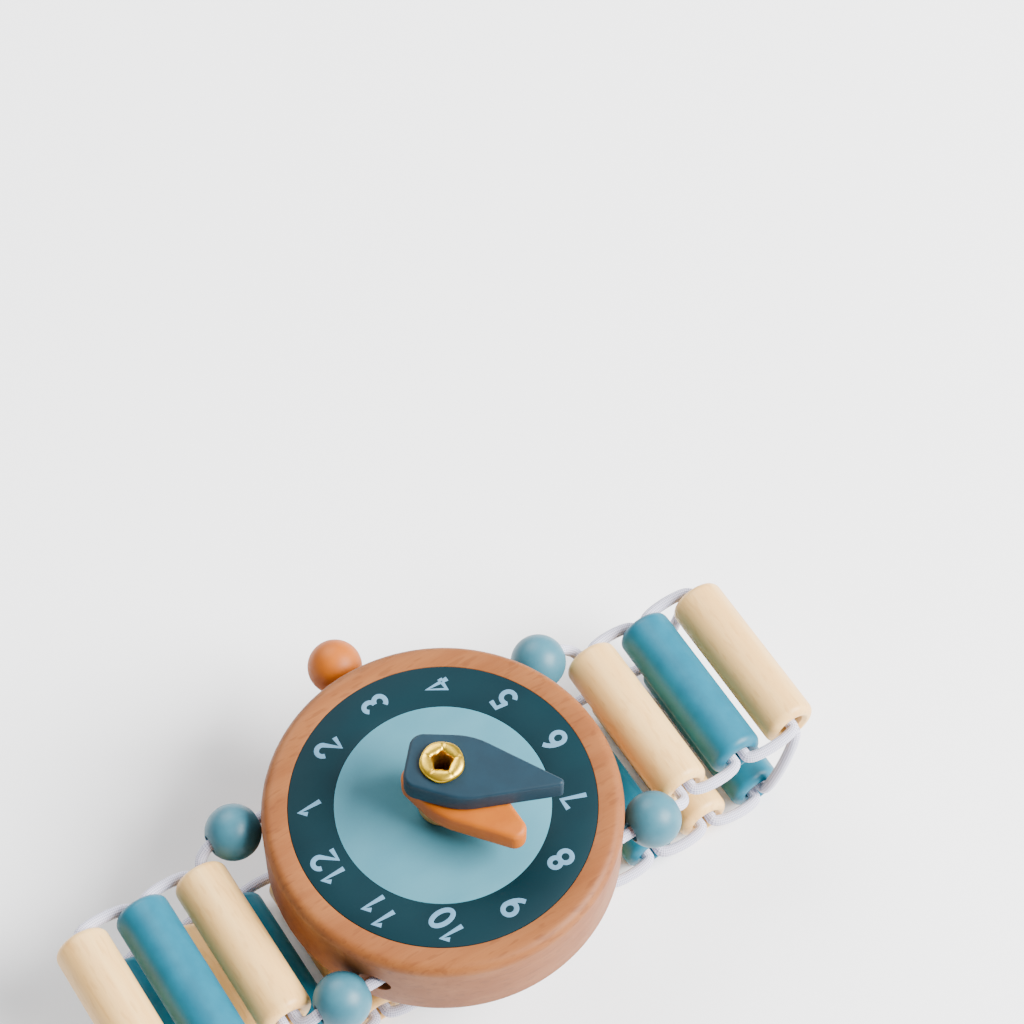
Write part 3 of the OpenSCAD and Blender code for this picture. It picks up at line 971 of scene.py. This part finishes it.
@dataclass
class Strap:
    """The lug beads, the seventeen strap beads and the elastic that threads them all."""

    finishes: Finishes
    case_r: float = 20 * MM
    lug_r: float = 3.2 * MM
    lug_bore_r: float = 1.1 * MM
    lug_soft: float = 0.15 * MM
    lug_steps: int = 22
    lug_gap: float = 0.15 * MM
    hole_x: float = 11.8 * MM
    hole_z: float = 5 * MM
    bead_r: float = 3.15 * MM
    bead_len: float = 20.1 * MM
    bead_round: float = 1 * MM
    bead_gap: float = 1.1 * MM
    bead_lift: float = 0.2 * MM
    bead_sides: int = 56
    lug_nest: float = 0.45 * MM
    bore_play: float = 0.15 * MM
    bore_sink: float = 0.4 * MM
    bore_soft: float = 0.08 * MM
    wrist_gap: float = 6 * MM
    cord_r: float = 0.65 * MM
    cord_gap: float = 0.08 * MM
    cord_bulge: float = 1.0 * MM
    cord_slope: float = 0.7
    cord_lag: float = 1.4
    knot_len: float = 3.2 * MM
    still_share: float = 0.12
    side_beads: int = 3
    rear_beads: int = 11
    through_steps: int = 14
    bow_steps: int = 18
    turn_steps: int = 30
    case_steps: int = 10
    twist_r: float = field(init=False)
    bore_r: float = field(init=False)
    lug_y: float = field(init=False)
    exit_y: float = field(init=False)
    places: list[Vector] = field(init=False)
    loop: list[Vector] = field(init=False)

    def __post_init__(self) -> None:
        """Work out the places that follow from the sizes."""
        # The CAD winds the elastic's passes in three straight pieces, which must clear each other too
        self.twist_r = (self.cord_r + self.cord_gap / 2) / math.cos(math.pi / 6)
        self.bore_r = self.twist_r + self.cord_r + self.bore_play
        self.lug_y = math.sqrt((self.case_r + self.lug_gap + self.lug_r) ** 2 - self.hole_x**2)
        self.exit_y = self.lug_y + math.sqrt(self.lug_r**2 - self.lug_bore_r**2)
        bead_z = self.bead_r + self.bead_lift
        rear_z = -self.wrist_gap - self.bead_r
        pitch = 2 * self.bead_r + self.bead_gap
        reach = math.sqrt((self.lug_r + self.bead_r) ** 2 - (self.hole_z - bead_z) ** 2)
        first = self.lug_y + reach - self.lug_nest
        side = [first + n * pitch for n in range(self.side_beads)]
        rear = [(n - (self.rear_beads - 1) / 2) * pitch for n in range(self.rear_beads)]
        self.places = (
            [Vector((0, -y, bead_z)) for y in side]
            + [Vector((0, y, rear_z)) for y in rear]
            + [Vector((0, y, bead_z)) for y in reversed(side)]
        )
        six, twelve = (Vector((0, side.value * self.lug_y, self.hole_z)) for side in Side)
        self.loop = [six, *self.places, twelve]

    def bead_names(self) -> list[str]:
        """Return the strap beads' nodes in order round the loop."""
        six = [f"strap_bead_six_{n}" for n in range(1, self.side_beads + 1)]
        rear = [f"rear_bead_{n:02d}" for n in range(1, self.rear_beads + 1)]
        twelve = [f"strap_bead_twelve_{n}" for n in range(self.side_beads, 0, -1)]
        return six + rear + twelve

    def beads(self) -> None:
        """Turn the strap beads, natural and teal by turns."""
        end, bore, flare = self.bead_len / 2, self.bore_r, self.bore_r + self.bore_sink
        half = [
            Ring(bore, end - self.bore_sink), Ring(flare, end, self.bore_soft, 2),
            Ring(self.bead_r, end, self.bead_round, 8),
        ]
        other = [replace(ring, height=-ring.height) for ring in half]
        profile = [*other, Ring(self.bead_r, 0), *reversed(half)]
        looks = ((self.finishes.birch, "natural_wood"), (self.finishes.teal, "teal_paint"))
        for i, (node, place) in enumerate(zip(self.bead_names(), self.places)):
            piece = turn(node + "_wood", profile, place, Axis.ACROSS, self.bead_sides)
            dress(piece, *looks[i % 2], node, [node])

    def lugs(self) -> None:
        """Turn the four round beads against the case."""
        start = math.asin(self.lug_bore_r / self.lug_r)
        rings = ball(self.lug_r, start, math.pi - start, self.lug_steps)
        for mouth in (0, -1):
            rings[mouth] = Ring(self.lug_bore_r, rings[mouth].height, self.lug_soft, 3)
        for side in Side:
            for end in End:
                node = f"lug_bead_{side.name.lower()}_{end.name.lower()}"
                centre = Vector((end.value * self.hole_x, side.value * self.lug_y, self.hole_z))
                piece = turn(node + "_ball", rings, centre, Axis.ALONG, self.bead_sides)
                dress(piece, self.finishes.lug_teal, "teal_grey_paint", node, [node])

    def along(self, i: int) -> Vector:
        """Return the loop's direction at bead i, from what comes before it to what comes after."""
        return (self.loop[i + 2] - self.loop[i]).normalized()

    def leaving(self, i: int) -> Vector:
        """Return where the elastic leaves bead i for the next one."""
        return self.places[i] + self.twist_r * self.along(i)

    def entering(self, i: int) -> Vector:
        """Return where the elastic enters bead i from the one before."""
        return self.places[i] - self.twist_r * self.along(i)

    def through(self, i: int, start: int) -> list[Vector]:
        """Give the elastic's way through bead i, half a turn round the other pass.

        Args:
            i: The bead.
            start: The end that this pass starts from, -1 near or 1 far.

        Returns:
            The points.
        """
        ahead = self.along(i)
        across = Vector((0, -ahead.z, ahead.y))
        points = []
        for k in range(self.through_steps + 1):
            share = k / self.through_steps
            swing, rise = math.cos(math.pi * share), math.sin(math.pi * share)
            point = self.places[i] + self.twist_r * (-swing * ahead - start * rise * across)
            point.x = start * self.bead_len * (0.5 - share)
            points.append(point)
        return points

    @staticmethod
    def half_circle(steps: int) -> list[float]:
        """Return the angles of a bow from bead to bead, which lie closer together at its two ends."""
        return [math.pi * (1 - math.cos(math.pi * k / steps)) / 2 for k in range(1, steps + 1)]

    def bow(self, start: Vector, finish: Vector, out: float, turns: Sequence[float]) -> list[Vector]:
        """Give the elastic's bow past the ends of the beads.

        Args:
            start: Where it leaves.
            finish: Where it arrives.
            out: How far it stands out from the beads' ends, below 0 at the near ones.
            turns: The angles that it goes through: up to pi from bead to bead, half of that into the case.

        Returns:
            The points, without the first.
        """
        points = []
        for turned in turns:
            point = start.lerp(finish, (1 - math.cos(turned)) / (1 - math.cos(turns[-1])))
            point.x = math.copysign(self.bead_len / 2, out) + out * math.sin(turned) ** self.cord_slope
            points.append(point)
        return points

    def row(self, first: int, last: int, start: int) -> list[Vector]:
        """Thread the beads of one row.

        Args:
            first: The first bead.
            last: The last bead.
            start: The end that the first pass starts from.

        Returns:
            The points.
        """
        points: list[Vector] = []
        turns = self.half_circle(self.bow_steps)
        for i in range(first, last + 1):
            points += self.through(i, start)
            if i < last:
                points += self.bow(self.leaving(i), self.entering(i + 1), -start * self.cord_bulge, turns)
                points.pop()
            start = -start
        return points

    def front_half(self, side: Side, end: End) -> list[Vector]:
        """Thread one side's beads and come back to the case.

        Args:
            side: The side of the case.
            end: The end at which it goes into the case.

        Returns:
            The points from the outermost bead to the case's hole.
        """
        if side is Side.SIX:
            points = self.row(0, self.side_beads - 1, end.value)[::-1]
            mouth = self.entering(0)
        else:
            last = len(self.places) - 1
            first_end = end.value * (-1) ** self.side_beads
            points = self.row(last - self.side_beads + 1, last, first_end)
            mouth = self.leaving(last)
        hole = Vector((0, side.value * self.exit_y, self.hole_z))
        turns = [math.pi / 2 * (k / self.case_steps) ** self.cord_lag for k in range(1, self.case_steps + 1)]
        way = self.bow(mouth, hole, end.value * (self.hole_x - self.bead_len / 2), turns)
        inside = Vector((end.value * self.hole_x, side.value * self.lug_y, self.hole_z))
        return points + way + [inside]

    def cord(self, name: str, route: Sequence[Vector], body: str, nodes: Sequence[str]) -> Piece:
        """Make one stretch of the elastic along a route."""
        piece = tube(name, route, self.cord_r)
        return dress(piece, self.finishes.elastic, "elastic", body, nodes, sharp=60)

    def runs(self) -> None:
        """Thread the elastic through the front beads and the case, and through the rear beads."""
        far = self.front_half(Side.SIX, End.FAR) + self.front_half(Side.TWELVE, End.FAR)[::-1]
        self.cord("cord_front_far", far, "watch", ["elastic_front"])
        for side in Side:
            knot = Vector((-self.hole_x, side.value * self.knot_len / 2, self.hole_z))
            route = self.front_half(side, End.NEAR) + [knot]
            self.cord(f"cord_front_near_{side.name.lower()}", route, "watch", ["elastic_front"])
        first, last = self.side_beads, self.side_beads + self.rear_beads - 1
        for end in End:
            route = self.row(first, last, end.value)
            self.cord(f"cord_rear_{end.name.lower()}", route, "rear_run", ["elastic_rear"])

    def turns(self) -> None:
        """Lead the elastic round the strap's two turns, where it stretches between front and rear."""
        last_front, last_rear = self.side_beads - 1, self.side_beads + self.rear_beads - 1
        for side, i in ((Side.SIX, last_front), (Side.TWELVE, last_rear)):
            start, finish = self.leaving(i), self.entering(i + 1)
            front, rear = (start, finish) if side is Side.SIX else (finish, start)
            first_stretch = front.lerp(rear, self.still_share)
            last_stretch = rear.lerp(front, self.still_share)
            for end in End:
                straight = Vector((end.value * self.bead_len / 2, start.y, start.z))
                bow = self.bow(start, finish, end.value * self.cord_bulge, self.half_circle(self.turn_steps))
                name = f"cord_turn_{side.name.lower()}_{end.name.lower()}"
                piece = self.cord(name, [straight] + bow, "", ["elastic_links"])
                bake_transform(piece)

    def build(self) -> None:
        """Build the strap, and dress the knot inside the case."""
        self.lugs()
        self.beads()
        self.runs()
        self.turns()
        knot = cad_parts["elastic_knot"]
        knot.data.materials.clear()
        knot.data.materials.append(self.finishes.elastic)


# The picture


@dataclass
class Studio:
    """The pale floor, the soft lights and the camera at the photograph's angle."""

    floor_z: float = -12.3 * MM
    floor_size: float = 6.0
    paper: Colour = (0.93, 0.93, 0.935)
    paper_light: Colour = (0.96, 0.96, 0.965)
    air: Colour = (0.93, 0.96, 1.0)
    air_strength: float = 0.32
    eye: Vector = field(default_factory=lambda: Vector((-124.4, 73.7, 307.8)) * MM)
    right: Vector = field(default_factory=lambda: Vector((-0.538, -0.8429, 0.0093)))
    down: Vector = field(default_factory=lambda: Vector((-0.7214, 0.4547, -0.5223)))
    focal_px: float = 3000.0
    frame_px: float = 1024.0
    sensor: float = 36.0

    def camera(self) -> None:
        """Set the camera."""
        data = bpy.data.cameras.new("camera")
        data.sensor_width = self.sensor
        data.lens = self.focal_px / self.frame_px * self.sensor
        data.clip_start, data.clip_end = 1 * MM, 10.0
        camera = show("camera", data)
        right, up = self.right.normalized(), -self.down.normalized()
        back = right.cross(up)
        for row in range(3):
            camera.matrix_world[row][:] = (right[row], up[row], back[row], self.eye[row])
        bpy.context.scene.camera = camera

    def floor(self) -> None:
        """Lay the floor, which stays under the rear run when the strap is stretched."""
        bpy.ops.mesh.primitive_plane_add(size=self.floor_size, location=(0, 0, self.floor_z))
        piece = settle(bpy.context.object, "floor")
        bench = Bench("floor_paper", {"Specular IOR Level": 0.1})
        cloud = bench.noise([0.02] * 3)
        piece.data.materials.append(bench.finish(bench.mix(cloud, self.paper, self.paper_light), 0.9))
        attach(piece, "rear_run")

    def world(self) -> None:
        """Colour the air."""
        world = bpy.data.worlds.new("air")
        world.use_nodes = True
        inputs = world.node_tree.nodes["Background"].inputs
        inputs["Color"].default_value = (*self.air, 1.0)
        inputs["Strength"].default_value = self.air_strength
        bpy.context.scene.world = world

    def lamp(self, name: str, right: float, up: float, towards: float, power: float, size: float) -> None:
        """Hang one soft lamp, placed as the camera sees it.

        Args:
            name: The lamp's name.
            right: How far right of the watch it hangs.
            up: How far up in the picture.
            towards: How far above the dial it hangs.
            power: Its power in watts.
            size: The width of its square.
        """
        data = bpy.data.lights.new(name, "AREA")
        data.energy, data.size = power, size
        lamp = show(name, data)
        flat_right = Vector((*self.right.xy, 0)).normalized()
        flat_up = Vector((*-self.down.xy, 0)).normalized()
        place = flat_right * right + flat_up * up + Vector((0, 0, towards))
        lamp.location = place
        lamp.rotation_euler = (-place).to_track_quat("-Z", "Y").to_euler()

    def build(self) -> None:
        """Set up the picture."""
        self.camera()
        self.floor()
        self.world()
        self.lamp("key", right=0.75, up=-0.12, towards=0.65, power=55.0, size=0.65)
        self.lamp("top", right=-0.3, up=0.6, towards=0.6, power=10.0, size=0.6)


def main() -> None:
    """Build the watch and its picture."""
    logging.basicConfig(level=logging.INFO, format="%(message)s")
    Studio().build()
    finishes = Finishes()
    Case(finishes).build()
    Pivot(finishes).build()
    Hand(
        "hour_hand", finishes.orange, "orange_paint", reach=11.1 * MM, low=14.12 * MM, thick=3.2 * MM,
        tip_r=1.3 * MM, angle=250.0, soft=0.6 * MM,
    ).build()
    Hand(
        "minute_hand", finishes.slate, "slate_paint", reach=13.2 * MM, low=17.44 * MM, thick=3.0 * MM,
        tip_r=0.5 * MM, angle=221.8,
    ).build()
    Crown(finishes).build()
    Strap(finishes).build()


if __name__ == "__main__":
    main()
